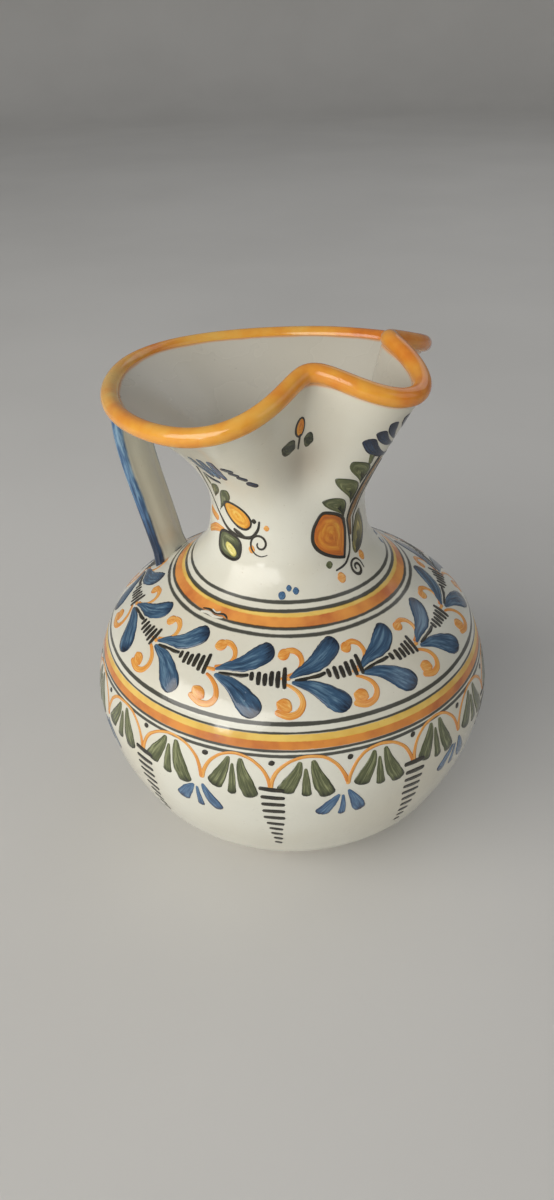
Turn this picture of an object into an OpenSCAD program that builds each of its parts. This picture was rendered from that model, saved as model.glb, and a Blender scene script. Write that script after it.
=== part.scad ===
// Hand-thrown pitcher with a pinched pouring mouth and a pulled strap handle.
// Millimetres, +Z up. Origin: centre of the foot, on the surface the jug stands on.
// The handle is on -X. The pouring lip points to +X, turned a little toward -Y.

/* [Body] */
// Radius of the belly at its widest
belly_r = 98.4; // [92:0.1:104]
// Radius of the neck at its narrowest
neck_r = 36.1; // [33:0.1:40]
// Outer radius of the foot
foot_r = 52; // [46:0.5:56]
// Height of the standing foot ring
foot_h = 4; // [3:0.5:5]
// Width of the standing foot ring
foot_w = 9; // [6:0.5:14]
// Wall thickness low in the body
wall_low = 5.5; // [4.5:0.1:7]
// Wall thickness at the neck
wall_high = 4.5; // [3.5:0.1:5]

/* [Mouth] */
// Direction of the pouring lip around +Z, in degrees from +X
lip_turn = -16; // [-25:1:25]
// Thickness of the rolled rim
rim_d = 8; // [6.5:0.5:9]
// Distance of the rim's middle line from the axis at the sides
side_r = 75; // [70:0.5:80]
// How much farther out the rim reaches at the back
back_reach = 9.5; // [0:0.5:14]
// How far each pinch presses the rim in
pinch_in = 30.5; // [15:0.5:34]
// Height of the rim's middle line at the back
back_z = 226.5; // [220:0.5:235]
// How much higher the front of the rim stands than the back
front_rise = 6; // [0:0.5:12]
// How much each pinch lifts the rim
pinch_lift = 16; // [6:0.5:20]
// How suddenly the wall opens out toward the rim at the back
flare_power = 1.98; // [1.8:0.02:2.6]
// The same under the pouring lip, where the wall leans out evenly
lip_power = 1.22; // [1.1:0.02:1.8]
// Depth of the thumb hollow under each pinch
thumb_depth = 3.2; // [1:0.2:4.5]

/* [Handle] */
// Width of the strap
strap_w = 27; // [22:0.5:32]
// Thickness of the strap
strap_t = 8; // [6.5:0.5:9.5]

/* [Hidden] */

// Heights of the widest and the narrowest ring
belly_z = 75;
neck_z = 174;

// Outside of the thrown pot, foot to neck: [radius, height]
low_knots = [[foot_r, foot_h], [63, 10], [79, 24], [86, 35], [94, 54], [belly_r, belly_z]];
top_knots = [[belly_r, belly_z], [97.5, 87], [94, 101], [88, 114], [78, 123.5], [66.5, 131],
             [54, 139.5], [45, 148], [38.5, 158], [neck_r, neck_z]];
all_knots = concat(low_knots, [for (i = [1 : len(top_knots) - 1]) top_knots[i]]);
// Knots where one thrown piece ends and the next begins
base_top = 2;
belly_top = len(low_knots) - 1;
shoulder_top = belly_top + 5;
neck_top = len(all_knots) - 1;
knot_steps = 4;

// Angles from the lip: where each pinch is deepest, where it lifts most, and how far each spreads
pinch_angle = 38;
pinch_spread_back = 20.5;
pinch_spread_lip = 27;
lift_angle = 36;
lift_spread = 27;
back_spread = 32;
thumb_z = 204;
thumb_spread = 15;
thumb_tall = 13;
lip_spread = 28;

// Grid of the faceted pieces
around = 96;
wall_rows = 13;
rim_sides = 12;
strap_rows = 22;
strap_sides = 20;

// Middle line of the strap in the plane y = 0: [distance out from the axis, height]
strap_line = [[79, 222.5], [91, 199], [74.5, 167], [65, 123.5]];
// Where the handle's own length begins and ends along that line
luted_top = 0.09;
luted_foot = 0.9;

glaze = [0.86, 0.84, 0.76];
bare_clay = [0.72, 0.52, 0.38];
rim_orange = [0.93, 0.55, 0.10];
strap_blue = [0.22, 0.36, 0.60];

$fn = 96;

// Smooth curve through knots k, at position u counted in knots
function at(k, i) = k[min(max(i, 0), len(k) - 1)];
function bend(a, b, c, d, t) =
    0.5 * (2 * b + (c - a) * t + (2 * a - 5 * b + 4 * c - d) * t * t
           + (3 * b - a - 3 * c + d) * t * t * t);
function curve(k, u) =
    let (i = min(floor(u), len(k) - 2))
    bend(at(k, i - 1), at(k, i), at(k, i + 1), at(k, i + 2), u - i);

// Outside and inside of the thrown wall
function unit(v) = v / norm(v);
function slope(u) = unit(curve(all_knots, u + 0.02) - curve(all_knots, u - 0.02));
function thickness(z) = wall_low + (wall_high - wall_low) * z / neck_z;
function level(u) = u == belly_top || u == neck_top;
function outside(u) = curve(all_knots, u);
function inside(u) =
    let (p = outside(u), s = level(u) ? [0, 1] : slope(u))
    p + thickness(p[1]) * [-s[1], s[0]];
function wall_steps(from, to) = [for (i = [from * knot_steps : to * knot_steps]) i / knot_steps];
function outer_line(from, to) = [for (u = wall_steps(from, to)) outside(u)];
function inner_line(from, to) = [for (u = wall_steps(from, to)) inside(u)];
function backward(l) = [for (i = [len(l) - 1 : -1 : 0]) l[i]];

// Rim line at angle a from the lip: [radius, height]
function bump(x) = exp(-x * x);
function from_lip(a) = abs(a > 180 ? a - 360 : a);
function dip(x) = bump(x / (x > 0 ? pinch_spread_back : pinch_spread_lip));
function rim_at(a) =
    let (b = from_lip(a))
    [side_r + back_reach * bump((180 - b) / back_spread)
         - pinch_in * (dip(b - pinch_angle) + dip(-b - pinch_angle)),
     back_z + front_rise * (1 + cos(b)) / 2
         + pinch_lift * (bump((b - lift_angle) / lift_spread) + bump((b + lift_angle) / lift_spread))];

// Middle surface of the mouth wall at angle a from the lip and share v of its height
function from_pinch(a) = abs(from_lip(a) - pinch_angle);
function opening_power(a) =
    flare_power + (lip_power - flare_power) * bump(pow(from_lip(a) / lip_spread, 2));
function wall_mid(a, v) =
    let (rim = rim_at(a), z = neck_z + (rim[1] - neck_z) * v, r0 = neck_r - wall_high / 2,
         dent = thumb_depth * bump(from_pinch(a) / thumb_spread) * bump((z - thumb_z) / thumb_tall),
         r = r0 + (rim[0] - r0) * pow(v, opening_power(a)) - dent * min(1, v * 5))
    [r * cos(a), r * sin(a), z];
function wall_normal(a, v) =
    v == 0 ? [cos(a), sin(a), 0]
    : unit(cross(wall_mid(a + 1, v) - wall_mid(a - 1, v),
                 wall_mid(a, min(1, v + 0.02)) - wall_mid(a, v - 0.02)));
function wall_point(a, v, side) = wall_mid(a, v) + side * wall_high / 2 * wall_normal(a, v);

// Rolled rim: a round tube that follows the rim line
function rim_point(a) = let (p = rim_at(a)) [p[0] * cos(a), p[0] * sin(a), p[1]];
function rim_ring(a) =
    let (d = unit(rim_point(a + 1) - rim_point(a - 1)), out = unit(cross(d, [0, 0, 1])),
         up = cross(out, d))
    [for (j = [0 : rim_sides - 1])
        rim_point(a) + rim_d / 2 * (out * cos(j * 360 / rim_sides) + up * sin(j * 360 / rim_sides))];

// Strap: a flat oval drawn along its middle line
function along(t) =
    strap_line[0] * pow(1 - t, 3) + strap_line[1] * 3 * t * pow(1 - t, 2)
    + strap_line[2] * 3 * t * t * (1 - t) + strap_line[3] * pow(t, 3);
function squared(x) = sign(x) * pow(abs(x), 0.72);
function spread(t) =
    1 + 0.14 * max(0, (luted_top - t) / luted_top) + 0.2 * max(0, (t - luted_foot) / (1 - luted_foot));
function strap_ring(t) =
    let (p = along(t), s = unit(along(t + 0.01) - along(t - 0.01)), out = [-s[1], s[0]],
         w = strap_w / 2 * spread(t) * (1 - 0.1 * t), h = strap_t / 2 * spread(t))
    [for (j = [0 : strap_sides - 1])
        let (b = j * 360 / strap_sides, c = h * squared(sin(b)))
        [-p[0] - out[0] * c, w * squared(cos(b)), p[1] + out[1] * c]];

// Closed skins: a tube of equal rings, open ends capped, or joined into a loop
function quad(a, b, c, d) = [[a, b, c], [a, c, d]];
function skin(rings, n, last, loop) =
    [for (i = [0 : last]) for (j = [0 : n - 1])
        let (k = (j + 1) % n, i2 = loop ? (i + 1) % rings : i + 1)
        for (q = quad(i * n + j, i2 * n + j, i2 * n + k, i * n + k)) q];
module tube(rings) {
    n = len(rings[0]);
    polyhedron(points = [for (r = rings) for (p = r) p],
               faces = concat(skin(len(rings), n, len(rings) - 2, false),
                              [[for (j = [0 : n - 1]) j]],
                              [[for (j = [n - 1 : -1 : 0]) (len(rings) - 1) * n + j]]));
}
module hoop(rings) {
    polyhedron(points = [for (r = rings) for (p = r) p],
               faces = skin(len(rings), len(rings[0]), len(rings) - 1, true));
}

module foot_ring() {
    color(bare_clay)
    difference() {
        cylinder(h = foot_h, r = foot_r);
        translate([0, 0, -1]) cylinder(h = foot_h + 2, r = foot_r - foot_w);
    }
}

module thrown_ring(from, to) {
    color(glaze)
    rotate_extrude()
    polygon(concat(outer_line(from, to), backward(inner_line(from, to))));
}

module base() {
    inner = inner_line(0, base_top);
    color(glaze)
    rotate_extrude()
    polygon(concat([[0, foot_h]], outer_line(0, base_top), backward(inner), [[0, inner[0][1]]]));
}

module lower_body() {
    thrown_ring(base_top, belly_top);
}

module upper_body() {
    thrown_ring(belly_top, shoulder_top);
}

module neck() {
    thrown_ring(shoulder_top, neck_top);
}

module mouth_wall() {
    step = 360 / around;
    color(glaze)
    rotate([0, 0, lip_turn])
    hoop([for (i = [0 : around - 1])
        let (a = i * step)
        concat([for (k = [0 : wall_rows]) wall_point(a, k / wall_rows, 1)],
               [for (k = [wall_rows : -1 : 0]) wall_point(a, k / wall_rows, -1)])]);
}

module rim_roll() {
    color(rim_orange)
    rotate([0, 0, lip_turn])
    hoop([for (i = [0 : around - 1]) rim_ring(i * 360 / around)]);
}

module strap(from, to, rows) {
    tube([for (i = [0 : rows]) strap_ring(from + (to - from) * i / rows)]);
}

module handle() {
    color(strap_blue)
    strap(luted_top, luted_foot, strap_rows);
}

module handle_top_joint() {
    color(glaze)
    strap(0, luted_top, 3);
}

module handle_foot_joint() {
    color(glaze)
    strap(luted_foot, 1, 4);
}

foot_ring();
base();
lower_body();
upper_body();
neck();
mouth_wall();
rim_roll();
handle();
handle_top_joint();
handle_foot_joint();
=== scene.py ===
import math
import random

import bmesh
import bpy
import numpy as np
from mathutils import Matrix, Vector, noise


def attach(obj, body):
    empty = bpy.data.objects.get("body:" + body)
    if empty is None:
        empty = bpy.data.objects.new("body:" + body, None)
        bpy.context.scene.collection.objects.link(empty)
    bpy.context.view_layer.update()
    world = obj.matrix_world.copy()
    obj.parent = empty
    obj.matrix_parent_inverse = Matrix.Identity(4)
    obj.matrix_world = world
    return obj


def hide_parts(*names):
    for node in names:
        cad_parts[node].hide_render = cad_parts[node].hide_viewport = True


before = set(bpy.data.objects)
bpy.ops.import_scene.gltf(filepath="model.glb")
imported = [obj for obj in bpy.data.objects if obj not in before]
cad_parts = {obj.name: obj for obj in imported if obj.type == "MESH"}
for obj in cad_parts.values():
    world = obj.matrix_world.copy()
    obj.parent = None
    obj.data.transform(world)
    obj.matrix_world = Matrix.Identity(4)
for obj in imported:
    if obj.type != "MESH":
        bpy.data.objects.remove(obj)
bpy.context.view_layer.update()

MM = 0.001
LIP_TURN = -16.0          # where the pouring lip points, in degrees from +X
SKIN_DEPTH = -0.30        # the glazed skin lies this far inside the widest size
PAINT_THICK = 0.10        # a brush mark's own thickness
ORANGE_LIFT, COLOUR_LIFT, LINE_LIFT = 0.06, 0.10, 0.14


# ---------------------------------------------------------------- the thrown shape

OUTSIDE = np.array([
    [52, 4], [63, 10], [79, 24], [86, 35], [94, 54], [98.4, 75], [97.5, 87], [94, 101],
    [88, 114], [78, 123.5], [66.5, 131], [54, 139.5], [45, 148], [38.5, 158], [36.1, 174]], float)
NECK_Z, NECK_R, WALL = 174.0, 36.1, 4.5
# middle line of the rolled rim: at the sides, at the back, and what each pinch does to it
SIDE_R, BACK_REACH, BACK_Z, FRONT_RISE, BACK_SPREAD = 75.0, 9.5, 226.5, 6.0, 32.0
PINCH_IN, PINCH_SPREAD_BACK, PINCH_SPREAD_LIP = 30.5, 20.5, 27.0
PINCH_LIFT, LIFT_ANGLE, LIFT_SPREAD = 16.0, 36.0, 27.0
FLARE_POWER, LIP_POWER, LIP_SPREAD = 1.98, 1.22, 28.0
THUMB_DEPTH, THUMB_Z, THUMB_SPREAD, THUMB_TALL, PINCH_ANGLE = 3.2, 204.0, 15.0, 13.0, 38.0


def smooth_line(knots, u):
    """A smooth curve through the knots, at u counted in knots."""
    knots = np.asarray(knots, float)
    last = len(knots) - 1
    u = np.clip(np.asarray(u, float), 0, last)
    i = np.minimum(np.floor(u).astype(int), last - 1)
    t = (u - i)[..., None]
    a, b, c, d = (knots[np.clip(i + k, 0, last)] for k in (-1, 0, 1, 2))
    return 0.5 * (2 * b + (c - a) * t + (2 * a - 5 * b + 4 * c - d) * t ** 2
                  + (3 * b - a - 3 * c + d) * t ** 3)


PROFILE = smooth_line(OUTSIDE, np.linspace(0, len(OUTSIDE) - 1, 1001))
CLIMB = np.concatenate([[0], np.cumsum(np.hypot(*np.diff(PROFILE, axis=0).T))])


def bump(x):
    return np.exp(-x * x)


def dip(x):
    return bump(x / np.where(x > 0, PINCH_SPREAD_BACK, PINCH_SPREAD_LIP))


def rim_at(angle):
    """Distance from the axis and height of the rim's middle line."""
    b = np.abs((np.asarray(angle, float) + 180) % 360 - 180)
    reach = (SIDE_R + BACK_REACH * bump((180 - b) / BACK_SPREAD)
             - PINCH_IN * (dip(b - PINCH_ANGLE) + dip(-b - PINCH_ANGLE)))
    height = (BACK_Z + FRONT_RISE * (1 + np.cos(np.radians(b))) / 2
              + PINCH_LIFT * (bump((b - LIFT_ANGLE) / LIFT_SPREAD) + bump((b + LIFT_ANGLE) / LIFT_SPREAD)))
    return reach, height


def wall_middle(angle, share):
    """Middle of the mouth's wall at an angle from the lip and a share of its height."""
    angle, share = np.broadcast_arrays(np.asarray(angle, float), np.asarray(share, float))
    rim_r, rim_z = rim_at(angle)
    from_lip = np.abs((angle + 180) % 360 - 180)
    z = NECK_Z + (rim_z - NECK_Z) * share
    start = NECK_R - WALL / 2
    dent = (THUMB_DEPTH * np.exp(-((from_lip - PINCH_ANGLE) / THUMB_SPREAD) ** 2)
            * np.exp(-((z - THUMB_Z) / THUMB_TALL) ** 2))
    power = FLARE_POWER + (LIP_POWER - FLARE_POWER) * np.exp(-((from_lip / LIP_SPREAD) ** 2) ** 2)
    r = start + (rim_r - start) * np.maximum(share, 1e-9) ** power - dent * np.minimum(1, share * 5)
    a = np.radians(angle + LIP_TURN)
    return np.stack([r * np.cos(a), r * np.sin(a), z], -1)


def wall_outside(turn, share):
    """Outer face of the mouth's wall; turn is in degrees from +X."""
    angle = np.asarray(turn, float) - LIP_TURN
    sideways = wall_middle(angle + 1, share) - wall_middle(angle - 1, share)
    upward = (wall_middle(angle, np.minimum(share + 0.02, 1))
              - wall_middle(angle, np.maximum(share - 0.02, 0)))
    out = np.cross(sideways, upward)
    out /= np.linalg.norm(out, axis=-1)[..., None]
    a = np.radians(angle + LIP_TURN)
    level = np.stack([np.cos(a), np.sin(a), np.zeros_like(a)], -1)
    ease = np.clip(np.asarray(share, float) / 0.08, 0, 1)[..., None]
    out = out * ease + level * (1 - ease)
    return wall_middle(angle, share) + out * WALL / 2


def pot_face(turn, z):
    """Outer face of the whole pot at a turn in degrees and a height."""
    turn, z = np.broadcast_arrays(np.asarray(turn, float), np.asarray(z, float))
    a = np.radians(turn)
    r = np.interp(z, PROFILE[:, 1], PROFILE[:, 0])
    body = np.stack([r * np.cos(a), r * np.sin(a), z], -1)
    share = np.clip((z - NECK_Z) / (rim_at(turn - LIP_TURN)[1] - NECK_Z), 0, 1)
    return np.where((z > NECK_Z)[..., None], wall_outside(turn, share), body)


def on_pot(turn, z, lift):
    """A point that stands off the glazed skin by lift."""
    face = pot_face(turn, z)
    out = np.cross(pot_face(turn + 0.4, z) - pot_face(turn - 0.4, z),
                   pot_face(turn, z + 0.4) - pot_face(turn, z - 0.4))
    out /= np.linalg.norm(out, axis=-1)[..., None]
    return face + out * (np.asarray(lift) + SKIN_DEPTH)[..., None]


# ---------------------------------------------------------------- working at the bench

def clear_selection():
    if bpy.context.mode != "OBJECT":
        bpy.ops.object.mode_set(mode="OBJECT")
    bpy.ops.object.select_all(action="DESELECT")


def select_only(piece):
    clear_selection()
    piece.select_set(True)
    bpy.context.view_layer.objects.active = piece


def points_of(piece):
    flat = np.zeros(len(piece.data.vertices) * 3)
    piece.data.vertices.foreach_get("co", flat)
    return flat.reshape(-1, 3)


def move_points(piece, points):
    piece.data.vertices.foreach_set("co", np.asarray(points, float).ravel())
    piece.data.update()


def drawn_up(name, sides, rings, shape, capped):
    """A circle drawn out ring by ring, as clay is pulled up. shape(i, share_around) gives
    the points of ring i. The piece keeps the attributes "around" and "along"."""
    clear_selection()
    bpy.ops.mesh.primitive_circle_add(vertices=sides, radius=0.01, location=(0, 0, 0),
                                      fill_type="NGON" if capped else "NOTHING")
    piece = bpy.context.active_object
    piece.name = name
    bpy.ops.object.mode_set(mode="EDIT")
    work = bmesh.from_edit_mesh(piece.data)
    around = work.verts.layers.float.new("around")
    along = work.verts.layers.float.new("along")
    for i, point in enumerate(work.verts):
        point[around] = i / sides
    bpy.ops.mesh.select_mode(type="EDGE")
    for ring in range(rings):
        if ring:
            bpy.ops.mesh.extrude_edges_move()
            work = bmesh.from_edit_mesh(piece.data)
            around = work.verts.layers.float["around"]
            along = work.verts.layers.float["along"]
        new = [v for v in work.verts if v.select]
        places = shape(ring, np.array([v[around] for v in new])) * MM
        for point, place in zip(new, places):
            point.co = place
            point[along] = ring / (rings - 1)
        if ring == 0:
            bpy.ops.mesh.select_mode(type="EDGE")
            for face in work.faces:
                face.select_set(False)
            for edge in work.edges:
                edge.select_set(True)
            work.select_flush_mode()
            for face in work.faces:
                face.select_set(False)
            for edge in work.edges:
                edge.select = True
    if capped == "both":
        bpy.ops.mesh.edge_face_add()
    bmesh.update_edit_mesh(piece.data)
    bpy.ops.mesh.select_all(action="SELECT")
    bpy.ops.mesh.remove_doubles(threshold=0.000004)
    bpy.ops.mesh.normals_make_consistent(inside=False)
    bpy.ops.object.mode_set(mode="OBJECT")
    return piece


def faces_out(piece, test):
    """Turns the faces round if the face nearest the test point looks inward."""
    nearest = min(piece.data.polygons, key=lambda f: (f.center - Vector(test) * MM).length)
    if nearest.normal.dot(Vector((test[0], test[1], 0))) < 0:
        select_only(piece)
        bpy.ops.object.mode_set(mode="EDIT")
        bpy.ops.mesh.select_all(action="SELECT")
        bpy.ops.mesh.flip_normals()
        bpy.ops.object.mode_set(mode="OBJECT")


def give_wall(piece, thickness, inner_finish=False):
    select_only(piece)
    wall = piece.modifiers.new("wall", "SOLIDIFY")
    wall.thickness = thickness * MM
    wall.offset = -1
    if inner_finish:
        wall.material_offset = 1
        wall.material_offset_rim = 1
    bpy.ops.object.modifier_apply(modifier=wall.name)


def set_down(piece, finishes, replaced=()):
    """Gives the finished piece its materials and its place in the assembly."""
    select_only(piece)
    bpy.ops.object.shade_smooth()
    for finish in finishes:
        if finish.name not in [m.name for m in piece.data.materials if m]:
            piece.data.materials.append(finish)
    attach(piece, "root")
    if replaced:
        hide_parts(*replaced)
    return piece


def mark_points(piece, name, values):
    """Keeps a number for every point, for the glazes to read."""
    mark = piece.data.attributes.new(name, "FLOAT", "POINT")
    mark.data.foreach_set("value", values.astype(np.float32))


def flat_copy(unit):
    twin = unit.copy()
    twin.data = unit.data.copy()
    bpy.context.scene.collection.objects.link(twin)
    return twin


# ---------------------------------------------------------------- mixing the glazes

def colour(r, g, b):
    """A colour as the eye reads it, 0 to 255, made linear for the shader."""
    def linear(v):
        v /= 255
        return v / 12.92 if v <= 0.04045 else ((v + 0.055) / 1.055) ** 2.4
    return tuple(min(1, linear(v)) for v in (r, g, b)) + (1.0,)


class Finish:
    """One material, its nodes added in the order that the colour is laid on."""

    def __init__(self, name):
        self.material = bpy.data.materials.new(name)
        self.material.use_nodes = True
        self.tree = self.material.node_tree
        self.shader = self.tree.nodes["Principled BSDF"]
        self.place = self.tree.nodes.new("ShaderNodeTexCoord").outputs["Object"]

    def put(self, socket, value):
        if isinstance(value, bpy.types.NodeSocket):
            self.tree.links.new(value, socket)
        else:
            socket.default_value = value

    def math(self, operation, a, b=0.0, clamp=False):
        node = self.tree.nodes.new("ShaderNodeMath")
        node.operation = operation
        node.use_clamp = clamp
        self.put(node.inputs[0], a)
        self.put(node.inputs[1], b)
        return node.outputs[0]

    def steps(self, value, low, high, first=0.0, last=1.0):
        """Eases from first to last while value goes from low to high."""
        node = self.tree.nodes.new("ShaderNodeMapRange")
        node.interpolation_type = "SMOOTHSTEP"
        self.put(node.inputs["Value"], value)
        for key, v in zip(("From Min", "From Max", "To Min", "To Max"), (low, high, first, last)):
            self.put(node.inputs[key], v)
        return node.outputs["Result"]

    def cloud(self, scale, detail=2.0, kind=0.0, vector=None, rough=0.5):
        node = self.tree.nodes.new("ShaderNodeTexNoise")
        node.noise_dimensions = "4D"
        self.put(node.inputs["Vector"], vector or self.place)
        node.inputs["W"].default_value = kind
        node.inputs["Scale"].default_value = scale
        node.inputs["Detail"].default_value = detail
        node.inputs["Roughness"].default_value = rough
        return node.outputs["Fac"]

    def waver(self, scale, detail, kind, reach):
        """Noise that strays to both sides of zero."""
        return self.math("MULTIPLY", self.math("SUBTRACT", self.cloud(scale, detail, kind), 0.5), reach)

    def mix(self, share, a, b):
        node = self.tree.nodes.new("ShaderNodeMix")
        node.data_type = "RGBA"
        self.put(node.inputs["Factor"], share)
        self.put(node.inputs["A"], a)
        self.put(node.inputs["B"], b)
        return node.outputs["Result"]

    def ramp(self, value, stops):
        node = self.tree.nodes.new("ShaderNodeValToRGB")
        marks = node.color_ramp.elements
        while len(marks) < len(stops):
            marks.new(0.5)
        for mark, (where, tone) in zip(marks, stops):
            mark.position = where
            mark.color = tone
        self.put(node.inputs["Fac"], value)
        return node.outputs["Color"]

    def attribute(self, name):
        node = self.tree.nodes.new("ShaderNodeAttribute")
        node.attribute_name = name
        return node.outputs["Fac"]

    def own_map(self):
        node = self.tree.nodes.new("ShaderNodeUVMap")
        split = self.tree.nodes.new("ShaderNodeSeparateXYZ")
        self.put(split.inputs[0], node.outputs["UV"])
        return node.outputs["UV"], split.outputs["X"], split.outputs["Y"]

    def heights(self):
        split = self.tree.nodes.new("ShaderNodeSeparateXYZ")
        self.put(split.inputs[0], self.place)
        return split.outputs["X"], split.outputs["Y"], split.outputs["Z"]

    def pinholes(self, scale, size):
        """Small round pits scattered through the glaze, 1 inside a pit."""
        node = self.tree.nodes.new("ShaderNodeTexVoronoi")
        self.put(node.inputs["Vector"], self.place)
        node.inputs["Scale"].default_value = scale
        return self.steps(node.outputs["Distance"], size * 0.35, size, 1.0, 0.0)

    def glossy(self, base, rough_low, rough_high, bump_depth, coat=0.0):
        """The fired gloss: uneven shine, a faint orange-peel and pinholes."""
        self.put(self.shader.inputs["Base Color"], base)
        shine = self.cloud(38, 3, 5.1)
        self.put(self.shader.inputs["Roughness"],
                 self.steps(shine, 0.3, 0.7, rough_low, rough_high))
        peel = self.cloud(420, 2, 2.3)
        broad = self.cloud(30, 2, 8.8)
        pits = self.pinholes(150, 0.1)
        rise = self.math("ADD", self.math("MULTIPLY", peel, 0.25), broad)
        rise = self.math("SUBTRACT", rise, self.math("MULTIPLY", pits, 0.35))
        bump = self.tree.nodes.new("ShaderNodeBump")
        bump.inputs["Strength"].default_value = 0.5
        bump.inputs["Distance"].default_value = bump_depth
        self.put(bump.inputs["Height"], rise)
        self.put(self.shader.inputs["Normal"], bump.outputs["Normal"])
        self.shader.inputs["IOR"].default_value = 1.52
        self.shader.inputs["Coat Weight"].default_value = coat
        self.shader.inputs["Coat Roughness"].default_value = 0.06
        return self.material


WHITE = colour(226, 225, 212)
WHITE_THIN = colour(219, 214, 196)
LINE_BLACK = colour(38, 40, 32)
RING_LINES = [  # middle height, half thickness
    (145.5, 0.6), (142.7, 0.6), (137.7, 0.42), (135.8, 0.5),
    (111.5, 0.85), (108.1, 0.5), (100.5, 0.6), (98.3, 0.75)]
RING_BANDS = [  # lowest, highest, thin colour, thick colour
    (138.0, 141.3, colour(236, 156, 60), colour(196, 100, 28)),
    (140.9, 142.2, colour(240, 204, 104), colour(222, 176, 66)),
    (101.1, 104.9, colour(226, 142, 44), colour(188, 96, 22)),
    (104.6, 107.5, colour(240, 204, 100), colour(222, 172, 62))]


def clay_tones(f):
    """Tin-white glaze: cool where it is thick, warm where the clay shows through."""
    tone = f.mix(f.steps(f.cloud(14, 4, 1.0), 0.35, 0.72), WHITE, WHITE_THIN)
    freckle = f.steps(f.cloud(900, 1, 4.0), 0.71, 0.78)
    return f.mix(f.math("MULTIPLY", freckle, 0.22), tone, colour(150, 122, 84))


def painted_pot_glaze():
    f = Finish("painted_pot_glaze")
    tone = clay_tones(f)
    z = f.math("MULTIPLY", f.heights()[2], 1000.0)
    edge = f.waver(420, 2, 6.0, 0.5)
    for i, (low, high, thin, thick) in enumerate(RING_BANDS):
        wave = f.waver(22, 1, 20.0 + i, 0.9)
        level = f.math("ADD", f.math("ADD", z, wave), edge)
        off = f.math("ABSOLUTE", f.math("SUBTRACT", level, (low + high) / 2))
        half = (high - low) / 2
        cover = f.steps(off, half - 0.2, half + 0.2, 1.0, 0.0)
        wash = f.mix(f.steps(f.cloud(70, 3, 30.0 + i), 0.3, 0.72), thin, thick)
        tone = f.mix(f.math("MULTIPLY", cover, 0.95), tone, wash)
    for i, (middle, half) in enumerate(RING_LINES):
        wave = f.waver(26, 1, 40.0 + i, 0.9)
        level = f.math("ADD", f.math("ADD", z, wave), f.math("MULTIPLY", edge, 0.5))
        off = f.math("ABSOLUTE", f.math("SUBTRACT", level, middle))
        press = f.waver(60, 2, 50.0 + i, 0.55)
        off = f.math("ADD", off, press)
        cover = f.steps(off, half - 0.18, half + 0.18, 0.93, 0.0)
        tone = f.mix(cover, tone, LINE_BLACK)
    # the clay shows through where the thumbs thinned the glaze, and painted shade darkens the same thumb
    # dents under the pinches
    tone = f.mix(f.math("MULTIPLY", f.attribute("thumb"), 0.5), tone, colour(142, 122, 98))
    # the rim's orange runs a little way down the wall
    bleed = f.math("ADD", f.attribute("to_rim"), f.waver(60, 3, 60.0, 2.2))
    tone = f.mix(f.steps(bleed, 3.9, 5.4, 0.85, 0.0), tone, colour(226, 150, 58))
    return f.glossy(tone, 0.13, 0.24, 0.0005, coat=0.1)


def inner_glaze():
    f = Finish("inner_glaze")
    # greyer and darker than the outside white: partly a thinner glaze inside, partly painted shade inside
    # the pot
    tone = f.mix(f.steps(f.cloud(9, 2, 17.0), 0.3, 0.7), colour(204, 200, 188), colour(196, 190, 174))
    speck = f.steps(f.cloud(500, 1, 18.0), 0.72, 0.78)
    tone = f.mix(f.math("MULTIPLY", speck, 0.25), tone, colour(120, 104, 84))
    bleed = f.math("ADD", f.attribute("to_rim"), f.waver(60, 3, 60.0, 2.0))
    tone = f.mix(f.steps(bleed, 3.6, 4.8, 0.7, 0.0), tone, colour(226, 150, 58))
    return f.glossy(tone, 0.2, 0.34, 0.0002)


def rim_glaze():
    f = Finish("rim_glaze")
    pooled = f.cloud(26, 3, 3.0)
    fine = f.cloud(160, 3, 9.0)
    share = f.math("ADD", f.math("MULTIPLY", pooled, 0.75), f.math("MULTIPLY", fine, 0.25))
    # deeper orange towards +X and +Y: partly uneven dipping of the rim, partly painted shade on the side
    # turned away from the window light
    x, y, _ = f.heights()
    share = f.math("ADD", share, f.math("ADD", f.math("MULTIPLY", x, 1.1), f.math("MULTIPLY", y, 0.5)))
    tone = f.ramp(share, [(0.3, colour(238, 190, 92)), (0.44, colour(236, 166, 60)),
                          (0.58, colour(224, 132, 36)), (0.74, colour(192, 92, 18))])
    under = f.steps(f.attribute("outward"), -1.0, -0.55, 0.55, 0.0)
    tone = f.mix(under, tone, colour(240, 184, 92))
    return f.glossy(tone, 0.12, 0.22, 0.0006, coat=0.4)


def handle_glaze():
    f = Finish("handle_glaze")
    face = f.math("ADD", f.attribute("face"), f.waver(70, 3, 11.0, 0.35))
    streak_vector = f.tree.nodes.new("ShaderNodeCombineXYZ")
    f.put(streak_vector.inputs[0], f.math("MULTIPLY", f.attribute("along"), 5.0))
    f.put(streak_vector.inputs[1], f.math("MULTIPLY", f.attribute("face"), 2.2))
    f.put(streak_vector.inputs[2], f.math("MULTIPLY", f.attribute("side"), 2.2))
    streak = f.cloud(2.4, 4, 12.0, streak_vector.outputs[0])
    share = f.math("ADD", streak, f.steps(f.attribute("along"), 0.55, 0.98, -0.04, 0.34))
    blue = f.ramp(share, [(0.34, colour(132, 164, 186)), (0.46, colour(88, 124, 158)),
                          (0.6, colour(54, 86, 124)), (0.8, colour(26, 42, 66))])
    tone = f.mix(f.steps(face, -0.72, -0.5), clay_tones(f), blue)
    return f.glossy(tone, 0.12, 0.24, 0.0006, coat=0.35)


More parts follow.
